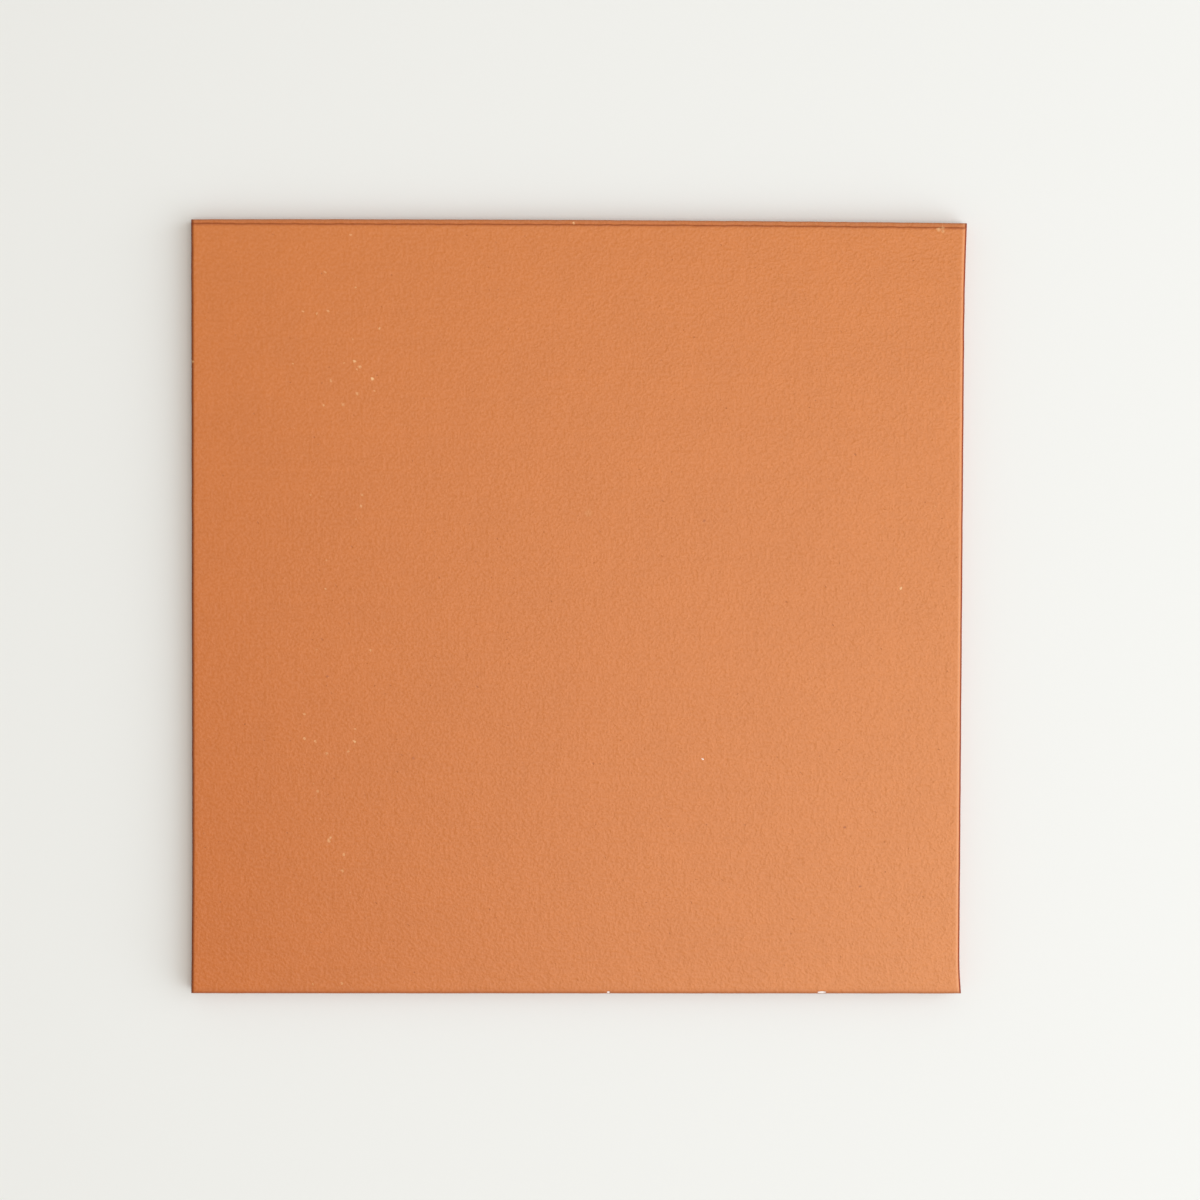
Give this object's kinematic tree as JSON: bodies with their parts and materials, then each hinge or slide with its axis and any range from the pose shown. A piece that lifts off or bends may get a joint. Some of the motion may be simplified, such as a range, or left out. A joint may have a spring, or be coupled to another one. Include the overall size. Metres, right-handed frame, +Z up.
{
  "type": "terracotta floor tile",
  "caption": "Square unglazed terracotta floor tile with softly rounded arrises, a narrow stepped ledge along one edge and a bed keyed with parallel grooves.",
  "frame": {"origin": "on the bed plane, under the middle of the tile", "axes": "+X along the extrusion, towards the waisted cut side; +Y from the plain front edge to the stepped back edge; +Z up, from the bed to the wearing face"},
  "size_m": [0.3, 0.3, 0.01],
  "materials": {
    "terracotta": "unglazed fired clay with a soft satin sheen"
  },
  "bodies": {
    "root": {"floor_tile": "terracotta"}
  },
  "joints": []
}
